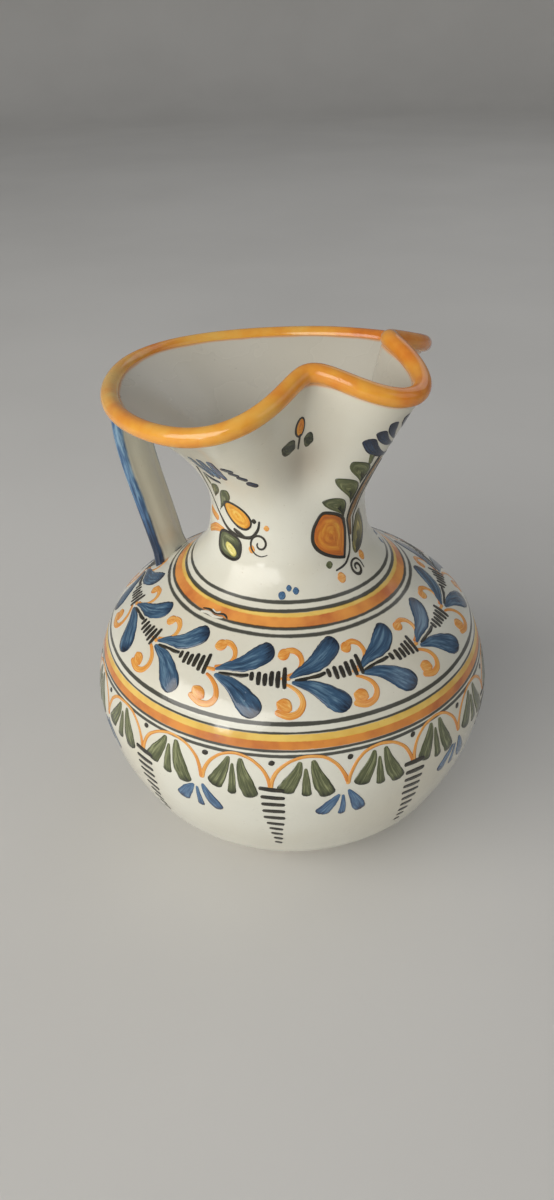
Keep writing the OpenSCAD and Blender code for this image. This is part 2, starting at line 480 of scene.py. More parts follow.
def bare_foot_clay():
    f = Finish("bare_foot_clay")
    tone = f.ramp(f.cloud(90, 5, 13.0), [(0.3, colour(196, 150, 112)), (0.7, colour(170, 122, 86))])
    grit = f.steps(f.cloud(1400, 2, 14.0), 0.62, 0.72)
    tone = f.mix(f.math("MULTIPLY", grit, 0.5), tone, colour(110, 78, 56))
    glaze_edge = f.steps(f.math("MULTIPLY", f.heights()[2], 1000.0), 2.6, 3.4)
    tone = f.mix(glaze_edge, tone, WHITE_THIN)
    f.put(f.shader.inputs["Base Color"], tone)
    f.put(f.shader.inputs["Roughness"], f.steps(glaze_edge, 0, 1, 0.82, 0.3))
    bump = f.tree.nodes.new("ShaderNodeBump")
    bump.inputs["Strength"].default_value = 0.6
    bump.inputs["Distance"].default_value = 0.0004
    f.put(bump.inputs["Height"], f.cloud(700, 4, 15.0))
    f.put(f.shader.inputs["Normal"], bump.outputs["Normal"])
    return f.material


def brush_paint(name, thin, body, thick, pool_end=0.35, pool_edge=0.3):
    """Oxide laid on with a brush: streaked along the stroke, darker at its edges and end."""
    f = Finish(name)
    _, along, across = f.own_map()
    vector = f.tree.nodes.new("ShaderNodeCombineXYZ")
    x, y, z = f.heights()
    f.put(vector.inputs[0], f.math("ADD", f.math("MULTIPLY", along, 1.4), f.math("MULTIPLY", x, 40.0)))
    f.put(vector.inputs[1], f.math("ADD", f.math("MULTIPLY", across, 5.0), f.math("MULTIPLY", y, 40.0)))
    f.put(vector.inputs[2], f.math("MULTIPLY", z, 40.0))
    streak = f.cloud(1.6, 4, 16.0, vector.outputs[0], 0.6)
    off_middle = f.math("ABSOLUTE", f.math("SUBTRACT", across, 0.5))
    edge = f.steps(off_middle, 0.36, 0.5, 0.0, pool_edge)
    end = f.steps(along, 0.7, 1.0, 0.0, pool_end)
    share = f.math("ADD", f.math("ADD", streak, edge), end)
    tone = f.ramp(share, [(0.34, thin), (0.5, body), (0.76, thick)])
    return f.glossy(tone, 0.13, 0.24, 0.0005, coat=0.3)


BLUE = brush_paint("cobalt_blue", colour(102, 134, 156), colour(54, 86, 116), colour(20, 34, 54), 0.3, 0.12)
PETAL_BLUE = brush_paint("cobalt_petal", colour(112, 146, 174), colour(66, 102, 140),
                         colour(26, 42, 70), 0.3, 0.12)
NAVY = brush_paint("cobalt_navy", colour(52, 74, 100), colour(30, 44, 66), colour(16, 22, 36), 0.1, 0.1)
GREEN = brush_paint("copper_green", colour(146, 150, 108), colour(92, 98, 64),
                    colour(46, 50, 34), 0.3, 0.12)
CHIP_WHITE = brush_paint("chip_white", colour(236, 234, 224), colour(222, 219, 206), colour(196, 188, 168))
DARK_GREEN = brush_paint("dark_green", colour(84, 88, 62), colour(52, 56, 40), colour(30, 32, 24), 0.2, 0.1)
BLACK = brush_paint("manganese_black", colour(70, 62, 44), colour(40, 38, 30), colour(20, 20, 18),
                    0.15, 0.1)
ORANGE = brush_paint("iron_orange", colour(240, 192, 112), colour(228, 156, 70),
                     colour(206, 112, 36), 0.15, 0.1)
PEAR = brush_paint("pear_orange", colour(234, 172, 52), colour(214, 124, 30), colour(164, 74, 14), 0, 0.12)
YELLOW = brush_paint("antimony_yellow", colour(246, 206, 100), colour(234, 168, 54),
                     colour(206, 120, 34), 0.05, 0.12)
PALE_YELLOW = brush_paint("pale_yellow", colour(246, 238, 180), colour(226, 214, 120),
                          colour(176, 168, 70), 0, 0.1)
OCHRE = brush_paint("ochre", colour(184, 146, 92), colour(146, 108, 62), colour(96, 70, 44))
OLIVE = brush_paint("olive", colour(204, 184, 104), colour(124, 118, 66), colour(52, 50, 32), 0.2, 0.2)


# ---------------------------------------------------------------- brushwork

def brush_stroke(line, halves, lift, caps=(1, 1), seed=0):
    """One brush mark laid out flat, x and y in millimetres, z above the glaze."""
    line = np.array(line, float)
    halves = np.array(halves, float)
    fine_u = np.linspace(0, len(line) - 1, 40 * (len(line) - 1) + 1)
    path = smooth_line(line, fine_u)
    width = np.interp(fine_u, np.linspace(0, len(line) - 1, len(halves)), halves)
    length = np.concatenate([[0], np.cumsum(np.hypot(*np.diff(path, axis=0).T))])
    total = length[-1]
    first, last = width[0] * caps[0], width[-1] * caps[1]
    rows = int(np.clip((total + first + last) / 0.75, 10, 64))
    cols = 4 if width.max() < 1.2 else 8
    clear_selection()
    bpy.ops.mesh.primitive_grid_add(x_subdivisions=rows, y_subdivisions=cols, size=2,
                                    location=(0, 0, 0))
    mark = bpy.context.active_object
    grid = points_of(mark)
    t, across = (grid[:, 0] + 1) / 2, grid[:, 1]
    t = 0.35 * t + 0.65 * (0.5 - 0.5 * np.cos(np.pi * t))
    s = -first + t * (total + first + last)
    inside = np.clip(s, 0, total)
    px, py = np.interp(inside, length, path[:, 0]), np.interp(inside, length, path[:, 1])
    ax, ay = (np.interp(np.minimum(inside + 0.2, total), length, path[:, k]) for k in (0, 1))
    bx, by = (np.interp(np.maximum(inside - 0.2, 0), length, path[:, k]) for k in (0, 1))
    dx, dy = ax - bx, ay - by
    size = np.hypot(dx, dy)
    dx, dy = dx / size, dy / size
    w = np.interp(inside, length, width)
    over = np.where(s < 0, -s / max(first, 1e-6), np.where(s > total, (s - total) / max(last, 1e-6), 0))
    w = w * np.sqrt(np.clip(1 - over ** 2, 0, 1))
    px, py = px + dx * (s - inside), py + dy * (s - inside)
    shake = np.array([noise.noise(Vector((q * 0.45, sign * 3.0, seed * 7.3)))
                      for q, sign in zip(s, np.sign(across))])
    w = w * (1 + 0.07 * shake)
    flat = np.stack([px - dy * w * across, py + dx * w * across,
                     lift + 0.05 * (1 - across ** 2)], -1)
    move_points(mark, flat)
    return mark


def brush_patch(outline, lift):
    """A filled shape, worked from its middle out to its outline."""
    outline = np.array(outline, float)
    (x, y), (nx, ny) = outline.T, np.roll(outline, -1, 0).T
    if np.sum(x * ny - nx * y) > 0:
        outline = outline[::-1]
    looped = np.vstack([outline[-1:], outline, outline[:2]])
    share = np.linspace(0, 1, 241)
    edge = smooth_line(looped, 1 + share * len(outline))
    middle = edge.mean(0)
    clear_selection()
    bpy.ops.mesh.primitive_grid_add(x_subdivisions=48, y_subdivisions=7, size=2, location=(0, 0, 0))
    patch = bpy.context.active_object
    grid = points_of(patch)
    t, out = (grid[:, 0] + 1) / 2, (grid[:, 1] + 1) / 2
    rim_line = np.stack([np.interp(t, share, edge[:, k]) for k in (0, 1)], -1)
    flat = middle + (rim_line - middle) * out[:, None]
    move_points(patch, np.column_stack([flat, lift + 0.05 * (1 - out ** 2)]))
    for spot in patch.data.uv_layers.active.data:
        spot.uv.y = 0.5 + 0.5 * spot.uv.y
    return patch


def brush_dab(middle, radii, lift, turn=0.0, seed=0):
    """A filled dab, laid down by pressing the brush flat."""
    c, s = math.cos(math.radians(turn)), math.sin(math.radians(turn))
    reach = np.linspace(-0.96, 0.96, 9)
    line = [(middle[0] + radii[0] * k * c, middle[1] + radii[0] * k * s) for k in reach]
    return brush_stroke(line, radii[1] * np.sqrt(1 - reach ** 2), lift, (0.5, 0.5), seed)


def join(marks, name):
    clear_selection()
    for mark in marks:
        mark.select_set(True)
    bpy.context.view_layer.objects.active = marks[0]
    if len(marks) > 1:
        bpy.ops.object.join()
    marks[0].name = name
    return marks[0]


def wrap_copy(unit, place, seed):
    """A copy of a flat unit laid on the pot, a little differently each time."""
    twin = flat_copy(unit)
    flat = points_of(twin)
    hand = random.Random(seed)
    turn, grow = math.radians(hand.uniform(-2.0, 2.0)), hand.uniform(0.97, 1.03)
    shift = (hand.uniform(-0.4, 0.4), hand.uniform(-0.4, 0.4))
    drift = np.array([[noise.noise(Vector((x * 0.07, y * 0.07, seed * 3.1))),
                       noise.noise(Vector((x * 0.07, y * 0.07, 50 + seed * 3.1)))]
                      for x, y in flat[:, :2]])
    x = (flat[:, 0] * math.cos(turn) - flat[:, 1] * math.sin(turn)) * grow
    y = (flat[:, 0] * math.sin(turn) + flat[:, 1] * math.cos(turn)) * grow
    x, y = x + shift[0] + drift[:, 0] * 0.8, y + shift[1] + drift[:, 1] * 0.8
    move_points(twin, place(x, y, flat[:, 2]) * MM)
    return twin


def fired_on(marks, name, paint):
    """Joins marks of one colour and gives them the thickness of paint."""
    piece = join(marks, name)
    bpy.ops.object.mode_set(mode="EDIT")
    bpy.ops.mesh.select_all(action="SELECT")
    bpy.ops.mesh.remove_doubles(threshold=0.000002)
    bpy.ops.mesh.dissolve_degenerate(threshold=0.000001)
    bpy.ops.object.mode_set(mode="OBJECT")
    outward = sum(f.normal.dot(Vector((f.center.x, f.center.y, 0.02))) for f in piece.data.polygons)
    if outward < 0:
        bpy.ops.object.mode_set(mode="EDIT")
        bpy.ops.mesh.select_all(action="SELECT")
        bpy.ops.mesh.flip_normals()
        bpy.ops.object.mode_set(mode="OBJECT")
    give_wall(piece, PAINT_THICK)
    return set_down(piece, [paint])


def band_place(turn, radius, climb):
    """Lays x along the band and y up the wall, from a point of the band."""
    def place(x, y, lift):
        s = climb + y
        z = np.interp(s, CLIMB, PROFILE[:, 1])
        return on_pot(turn + np.degrees(x / radius), z, lift)
    return place


def neck_place(x, y, lift):
    return on_pot(x / NECK_SCALE, y, lift)


# ---------------------------------------------------------------- the pot, foot, rim and handle

POT_SIDES = 240
BODY_STEPS, MOUTH_STEPS = 8, 36
UNDERSIDE = [(3, 4.0), (20, 4.0), (38, 4.0), (50, 4.0)]
MOUTH_TOP = 0.985         # the wall stops this far up, inside the rolled rim
SKIN_WALL = 4.6           # thickness of the thrown wall
FAR_FROM_RIM = 60.0
# height and spread of the thumb-dent darkening: thinned glaze plus painted shade
THINNED_AND_SHADED_Z, THINNED_AND_SHADED_SPREAD = 207.0, 13.0


def throw_pot():
    body_rows = (len(OUTSIDE) - 1) * BODY_STEPS + 1
    rows = len(UNDERSIDE) + body_rows + MOUTH_STEPS

    def shape(ring, around):
        turn = around * 360
        a = np.radians(turn)
        if ring < len(UNDERSIDE):
            r, z = UNDERSIDE[ring]
            return np.stack([r * np.cos(a), r * np.sin(a), np.full_like(a, z + 0.02)], -1)
        k = ring - len(UNDERSIDE)
        if k < body_rows:
            r, z = smooth_line(OUTSIDE, k / BODY_STEPS)
            u = k / BODY_STEPS
            s = smooth_line(OUTSIDE, u + 0.02) - smooth_line(OUTSIDE, u - 0.02)
            s = s / np.linalg.norm(s)
            r, z = r + SKIN_DEPTH * s[1], z - SKIN_DEPTH * s[0]
            return np.stack([r * np.cos(a), r * np.sin(a), np.full_like(a, z)], -1)
        share = (k - body_rows + 1) / MOUTH_STEPS * MOUTH_TOP
        face = wall_outside(turn, share)
        near = wall_outside(turn, max(share - 0.01, 0))
        out = np.cross(wall_outside(turn + 0.5, share) - wall_outside(turn - 0.5, share), face - near)
        out /= np.linalg.norm(out, axis=-1)[..., None]
        return face + out * SKIN_DEPTH

    pot = drawn_up("thrown_pot", POT_SIDES, rows, shape, capped="foot")
    faces_out(pot, (98, 0, 75))
    points = points_of(pot) / MM
    turn = np.degrees(np.arctan2(points[:, 1], points[:, 0]))
    rim_r, rim_z = rim_at(turn - LIP_TURN)
    gap = np.hypot(np.hypot(points[:, 0], points[:, 1]) - rim_r, points[:, 2] - rim_z)
    mark_points(pot, "to_rim", np.minimum(gap, FAR_FROM_RIM))
    # the thumb dents under each pinch: thinned glaze, with painted shade in the same hollows
    from_pinch = np.abs(np.abs((turn - LIP_TURN + 180) % 360 - 180) - PINCH_ANGLE)
    thinned_and_shaded = bump((from_pinch - 1) / THINNED_AND_SHADED_SPREAD) * bump((points[:, 2] - THINNED_AND_SHADED_Z) / THINNED_AND_SHADED_SPREAD)
    mark_points(pot, "thumb", thinned_and_shaded)
    pot.data.materials.append(painted_pot_glaze())
    pot.data.materials.append(inner_glaze())
    give_wall(pot, SKIN_WALL, inner_finish=True)
    return set_down(pot, [], ["base", "lower_body", "upper_body", "neck", "mouth_wall"])


FOOT_ROWS = [(43.6, 4.15), (43.4, 1.4), (43.9, 0.5), (45.0, 0.0), (47.5, 0.0), (50.1, 0.0),
             (51.2, 0.4), (51.8, 1.3), (51.9, 2.8), (51.6, 4.15), (47.5, 4.3), (43.6, 4.15)]


def turn_foot():
    def shape(ring, around):
        a = np.radians(around * 360)
        r, z = FOOT_ROWS[ring]
        return np.stack([r * np.cos(a), r * np.sin(a), np.full_like(a, z)], -1)

    foot = drawn_up("foot_ring_clay", 128, len(FOOT_ROWS), shape, capped="")
    return set_down(foot, [bare_foot_clay()], ["foot_ring"])


RIM_TUBE = 3.97


def roll_rim():
    clear_selection()
    bpy.ops.mesh.primitive_torus_add(major_segments=320, minor_segments=24, major_radius=1.0,
                                     minor_radius=0.25, location=(0, 0, 0))
    rim = bpy.context.active_object
    rim.name = "rolled_rim"
    ring = points_of(rim)
    turn = np.degrees(np.arctan2(ring[:, 1], ring[:, 0]))
    tube = np.arctan2(ring[:, 2], np.hypot(ring[:, 0], ring[:, 1]) - 1.0)

    def middle(t):
        r, z = rim_at(t - LIP_TURN)
        return np.stack([r * np.cos(np.radians(t)), r * np.sin(np.radians(t)), z], -1)

    ahead = middle(turn + 1) - middle(turn - 1)
    ahead /= np.linalg.norm(ahead, axis=-1)[:, None]
    out = np.cross(ahead, [0, 0, 1.0])
    out /= np.linalg.norm(out, axis=-1)[:, None]
    up = np.cross(out, ahead)
    rolled = RIM_TUBE * (1 + 0.03 * np.array([
        noise.noise(Vector((math.cos(math.radians(t)) * 3, math.sin(math.radians(t)) * 3, 1.7))) - 0.6
        for t in turn]))
    points = middle(turn) + rolled[:, None] * (out * np.cos(tube)[:, None] + up * np.sin(tube)[:, None])
    move_points(rim, points * MM)
    mark_points(rim, "outward", np.sin(tube))
    select_only(rim)
    bpy.ops.object.mode_set(mode="EDIT")
    bpy.ops.mesh.select_all(action="SELECT")
    bpy.ops.mesh.normals_make_consistent(inside=False)
    bpy.ops.object.mode_set(mode="OBJECT")
    return set_down(rim, [rim_glaze()], ["rim_roll"])


STRAP_LINE = np.array([[79, 222.5], [91, 199], [74.5, 167], [65, 123.5]], float)
STRAP_HALF_WIDE, STRAP_HALF_THICK = 13.4, 3.95
LUTED_TOP, LUTED_FOOT = 0.09, 0.9


def squared(v):
    return np.sign(v) * np.abs(v) ** 0.72


def pull_handle():
    rows, sides = 72, 56

    def line(t):
        return (STRAP_LINE[0] * (1 - t) ** 3 + STRAP_LINE[1] * 3 * t * (1 - t) ** 2
                + STRAP_LINE[2] * 3 * t * t * (1 - t) + STRAP_LINE[3] * t ** 3)

    def shape(ring, around):
        t = ring / (rows - 1)
        b = around * 2 * math.pi
        s = line(t + 0.01) - line(t - 0.01)
        s = s / np.linalg.norm(s)
        wider = (1 + 0.14 * max(0, (LUTED_TOP - t) / LUTED_TOP)
                 + 0.2 * max(0, (t - LUTED_FOOT) / (1 - LUTED_FOOT)))
        groove = 1 - 0.13 * np.cos(b * 6) * np.clip(-2 * np.sin(b), 0, 1) * min(1, 6 * t, 6 * (1 - t))
        thick = STRAP_HALF_THICK * wider * squared(np.sin(b)) * groove
        wide = STRAP_HALF_WIDE * wider * (1 - 0.1 * t) * squared(np.cos(b))
        p = line(t)
        return np.stack([-p[0] + s[1] * thick, wide, p[1] + s[0] * thick], -1)

    handle = drawn_up("pulled_handle", sides, rows, shape, capped="both")
    around = np.zeros(len(handle.data.vertices), np.float32)
    handle.data.attributes["around"].data.foreach_get("value", around)
    mark_points(handle, "face", np.sin(around * 2 * np.pi))
    mark_points(handle, "side", np.cos(around * 2 * np.pi))
    return set_down(handle, [handle_glaze()],
                    ["handle", "handle_top_joint", "handle_foot_joint"])


pot = throw_pot()
foot = turn_foot()
rim = roll_rim()
handle = pull_handle()


# ---------------------------------------------------------------- shoulder garland

SHOULDER_RADIUS, SHOULDER_CLIMB = 78.0, 147.0
SHOULDER_STEP = 25.8      # degrees from one leaf pair to the next, round the back
SHOULDER_TURNS = [-118.8, -91.5, -65.5, -42.2, -17.1]
SHOULDER_TURNS += [-17.1 + SHOULDER_STEP * k for k in range(1, 10)]


def paint_shoulder():
    leaves = join([
        brush_stroke([(0, .5), (4, 2.8), (8, 4.3), (12, 5.8), (16, 8.3), (19.5, 11), (21.5, 12.6)],
                     [.6, 1.9, 2.9, 3.9, 4.7, 5.1, 4.5], COLOUR_LIFT, (1, 0.95), 1),
        brush_stroke([(1, -2), (5, -2.9), (9, -4.3), (13, -7), (16.5, -10.2), (18.6, -12.4)],
                     [.9, 2.0, 3.0, 4.0, 4.9, 4.7], COLOUR_LIFT, (1, 0.95), 2)], "leaf_pair")
    dark = join([
        brush_stroke([(2, -.8), (5, -.5), (8, 0), (12, .3), (15, 1)], [.5, .85, .6, .9, .7],
                     LINE_LIFT, seed=3),
        *[brush_stroke([(x + .15, low), (x, (low + high) / 2), (x - .15, high)], [.85, 1.1, .9],
                       LINE_LIFT, (.8, .8), 4 + x)
          for x, low, high in ((17, -.5, 2), (20.2, -2, 2.6), (23, -2, 2.3), (25.7, -2, 3.5),
                               (28.5, -2.8, 3.6), (31.3, -3.2, 5.2))]], "stem_and_ticks")
    scrolls = join([
        brush_dab((-2.8, 11.3), (3.0, 2.7), ORANGE_LIFT, 20, 20),
        brush_stroke([(-1, 13), (2, 13), (5, 11), (6, 8), (5, 5), (2, 2.5), (-1, 1.5)],
                     [1.3, 1.4, 1.3, 1.2, 1.0, .8, .6], ORANGE_LIFT, seed=21),
        brush_dab((-3.5, -11.5), (3.2, 3.0), ORANGE_LIFT, -30, 22),
        brush_stroke([(-6, -14), (-2, -15.5), (2, -14.5), (4, -11), (3, -7), (0, -4), (-3, -2.5)],
                     [1.3, 1.5, 1.4, 1.2, 1.0, .8, .6], ORANGE_LIFT, seed=23),
        brush_stroke([(-4, 0), (-1, 0)], [.7, .9], ORANGE_LIFT, seed=24)], "scroll_pair")
    for unit, name, paint in ((scrolls, "shoulder_scrolls", ORANGE), (leaves, "shoulder_leaves", BLUE),
                              (dark, "shoulder_ticks", BLACK)):
        marks = [wrap_copy(unit, band_place(turn, SHOULDER_RADIUS, SHOULDER_CLIMB), i)
                 for i, turn in enumerate(SHOULDER_TURNS)]
        bpy.data.objects.remove(unit)
        fired_on(marks, name, paint)


# ---------------------------------------------------------------- belly arches

BELLY_RADIUS, BELLY_CLIMB = 96.0, 97.85
ARCH_WIDE = 30.4          # cusp to cusp, as the arch is drawn flat
CUSP_STEP = 20.4          # degrees from one cusp to the next, round the back
CUSP_TURNS = [-109.6, -89.9, -71.8, -51.7, -32.6, -14.4]
CUSP_TURNS += [-14.4 + CUSP_STEP * k for k in range(1, 13)]
LADDER = [  # height, left end, right end of each rung
    (-1.3, -4.5, 5.3), (-6, -3.8, 5.3), (-10.5, -3.7, 5), (-15.2, -3.5, 4.8), (-20, -3.5, 4.8),
    (-25, -2.8, 4.3), (-29.8, -2.2, 3.4), (-35, -2, 2.7), (-40.3, -1.2, 2.2), (-45.5, -.9, 1.7)]


def paint_belly():
    arch = brush_stroke([(0, 0), (.8, 3.5), (2.5, 7.5), (5, 10.8), (9, 13.7), (15.2, 15), (21.4, 13.7),
                         (25.4, 10.8), (28, 7.5), (29.6, 3.5), (ARCH_WIDE, 0)],
                        [1.0, .85, .8, .75, .7, .7, .7, .75, .8, .85, 1.0], ORANGE_LIFT, seed=31)
    dot = brush_dab((1, 12.2), (1.4, 1.25), LINE_LIFT, 30, 32)
    fan = join([
        brush_stroke([(11.8, 12), (10.5, 8), (8, 3), (5.8, -1.2)], [1.0, 2.1, 3.1, 3.6],
                     COLOUR_LIFT, (1, .6), 33),
        brush_stroke([(14, 9), (13.9, 4), (14, -4)], [.6, 1.4, 2.1], COLOUR_LIFT, (1, .8), 34),
        brush_stroke([(17.5, 12), (18.5, 6), (20.5, 0), (22.3, -4.4)], [1.1, 2.5, 3.4, 3.2], COLOUR_LIFT,
                     (1, .7), 35)], "fan")
    petals = join([
        brush_stroke([(.3, -4.5), (2, -9), (4, -14), (5.8, -17.8)], [.7, 2.0, 3.0, 2.8],
                     COLOUR_LIFT, (1, .8), 36),
        brush_stroke([(-4.6, -6.4), (-8, -11), (-11.2, -16.2)], [.8, 2.5, 3.3], COLOUR_LIFT, (1, .8), 37),
        brush_stroke([(-2.6, -7), (-2.7, -13), (-2.8, -18.4)], [.6, 1.2, 1.7], COLOUR_LIFT, (1, .9), 38)],
        "petals")
    ladder = join([
        brush_stroke([(left, y + .45), ((left + right) / 2, y), (right, y - .45)],
                     [.95, 1.15, 1.0], LINE_LIFT, (.7, .7), 40 + i)
        for i, (y, left, right) in enumerate(LADDER)], "ladder")
    for unit, name, paint, turns in (
            (arch, "belly_arches", ORANGE, CUSP_TURNS), (fan, "belly_leaf_fans", GREEN, CUSP_TURNS),
            (dot, "belly_dots", BLACK, CUSP_TURNS), (petals, "belly_petals", PETAL_BLUE, CUSP_TURNS[1::2]),
            (ladder, "belly_ladders", BLACK, CUSP_TURNS[0::2])):
        marks = []
        for i, turn in enumerate(turns):
            step = CUSP_TURNS.index(turn)
            following = CUSP_TURNS[step + 1] if step + 1 < len(CUSP_TURNS) else CUSP_TURNS[0] + 360
            stretched = unit in (arch, fan)
            reach = math.radians(following - turn) * BELLY_RADIUS / ARCH_WIDE if stretched else 1.0
            marks.append(wrap_copy(unit, band_place(turn, BELLY_RADIUS / reach, BELLY_CLIMB), 60 + step))
        bpy.data.objects.remove(unit)
        fired_on(marks, name, paint)


# ---------------------------------------------------------------- neck sprigs

NECK_SCALE = 0.698        # millimetres of brush travel to one degree of the neck
OUTLINE_POINTS = 14       # points of an oval's outline
CURL_POINTS = 17          # points of a curl


def across_neck(line):
    return [(turn * NECK_SCALE, z) for turn, z in line]


def neck_stroke(line, halves, lift, seed):
    return brush_stroke(across_neck(line), halves, lift, seed=seed)


def neck_dab(middle, radii, lift, seed, turn=0):
    return brush_dab(across_neck([middle])[0], (radii[0] * NECK_SCALE, radii[1]), lift, turn, seed)


def leaf_shape(root, tip, wide, bow=0.0, fullest=0.5):
    """Outline of a leaf or a drop: two sides that meet at its root and its tip, bowed to one hand."""
    start, end = np.array(across_neck([root, tip]), float)
    run = end - start
    side = np.array([-run[1], run[0]]) / np.linalg.norm(run)
    shares = np.array([0, 0.08, 0.2, 0.35, 0.5, 0.65, 0.8, 0.92, 1])
    bent = shares ** (math.log(0.5) / math.log(fullest))
    halves = wide / 2 * np.sin(math.pi * bent) ** 0.7
    middle = start + run * shares[:, None] + side * (bow * 4 * shares * (1 - shares))[:, None]
    left, right = middle + side * halves[:, None], middle - side * halves[:, None]
    return [tuple(p) for p in np.vstack([left, right[-2:0:-1]])]


def round_shape(middle, radii, turn=0.0, squareness=2.0):
    """Outline of an oval, fuller in its corners as squareness grows."""
    x, z = across_neck([middle])[0]
    tilt = math.radians(turn)
    outline = []
    for i in range(OUTLINE_POINTS):
        a = math.tau * i / OUTLINE_POINTS
        u = radii[0] * math.copysign(abs(math.cos(a)) ** (2 / squareness), math.cos(a))
        v = radii[1] * math.copysign(abs(math.sin(a)) ** (2 / squareness), math.sin(a))
        outline.append((x + u * math.cos(tilt) - v * math.sin(tilt),
                        z + u * math.sin(tilt) + v * math.cos(tilt)))
    return outline


def curl_stroke(middle, radius, start, turns, half, seed):
    """A thin line that winds in to a point."""
    x, z = across_neck([middle])[0]
    line = []
    for i in range(CURL_POINTS):
        share = i / (CURL_POINTS - 1)
        a, r = math.radians(start + 360 * turns * share), radius * (1 - 0.8 * share)
        line.append((x + r * math.cos(a), z + r * math.sin(a)))
    return brush_stroke(line, [half * k for k in (0.4, 1, 1.1, 1, 0.7)], LINE_LIFT, seed=seed)


def comma_stroke(start, end, bow, half, seed):
    """A short fat stroke that starts thin and bows to one hand."""
    first, last = np.array(across_neck([start, end]), float)
    run = last - first
    side = np.array([-run[1], run[0]]) / np.linalg.norm(run)
    line = [tuple(first + run * t + side * bow * 4 * t * (1 - t)) for t in (0, 0.25, 0.5, 0.75, 1)]
    return brush_stroke(line, [half * k for k in (0.25, 0.5, 0.8, 1, 0.95)], COLOUR_LIFT, seed=seed)


PEAR_SHAPE = leaf_shape((-25, 158), (-41, 182), 19, 1, 0.58)
PLUM_SHAPE = round_shape((-103.5, 180), (8.5, 5.5), -32)
POD_SHAPE = round_shape((-112, 163.5), (8, 5.8), -4, 2.8)
POD_HEART = round_shape((-110, 162), (4.2, 2.2), -28, 2.4)
BUD_SHAPE = round_shape((-59, 225.5), (2.1, 4.4), -8)
SPRAY_LEAVES = [leaf_shape((-21, 196), (-29, 209), 6, -1.5, 0.65),
                leaf_shape((-22, 185), (-34, 200), 6.5, -2.5, 0.65),
                leaf_shape((-24, 178), (-41, 188), 7, -3, 0.62)]
TALL_LEAF = leaf_shape((-14, 157), (-5, 177), 11, -3, 0.45)
SPRIG_LEAVES = [leaf_shape((-123, 186), (-112, 196), 4.5, 0.5, 0.6),
                leaf_shape((-123, 178), (-105, 194), 5.5, 0, 0.72)]


def neck_outline(outline, half, seed):
    return brush_stroke(outline + outline[:1], [half * k for k in (0.8, 1, 1.15, 1, 1.1, 1, 0.8)], LINE_LIFT,
                        seed=seed)


def far_side_twin(mark):
    """A second copy for the far side, if the mark is part of the side sprig, bud or dots."""
    middle = points_of(mark).mean(0)
    turn, z = middle[0] / NECK_SCALE, middle[1]
    if turn < -75 and z > 145:
        further = 188
    elif -72 < turn < -50 and z > 212:
        further = 86
    elif -72 < turn < -60 and z < 152:
        further = 100
    else:
        return None
    twin = flat_copy(mark)
    move_points(twin, points_of(twin) + [further * NECK_SCALE, 0, 0])
    return twin


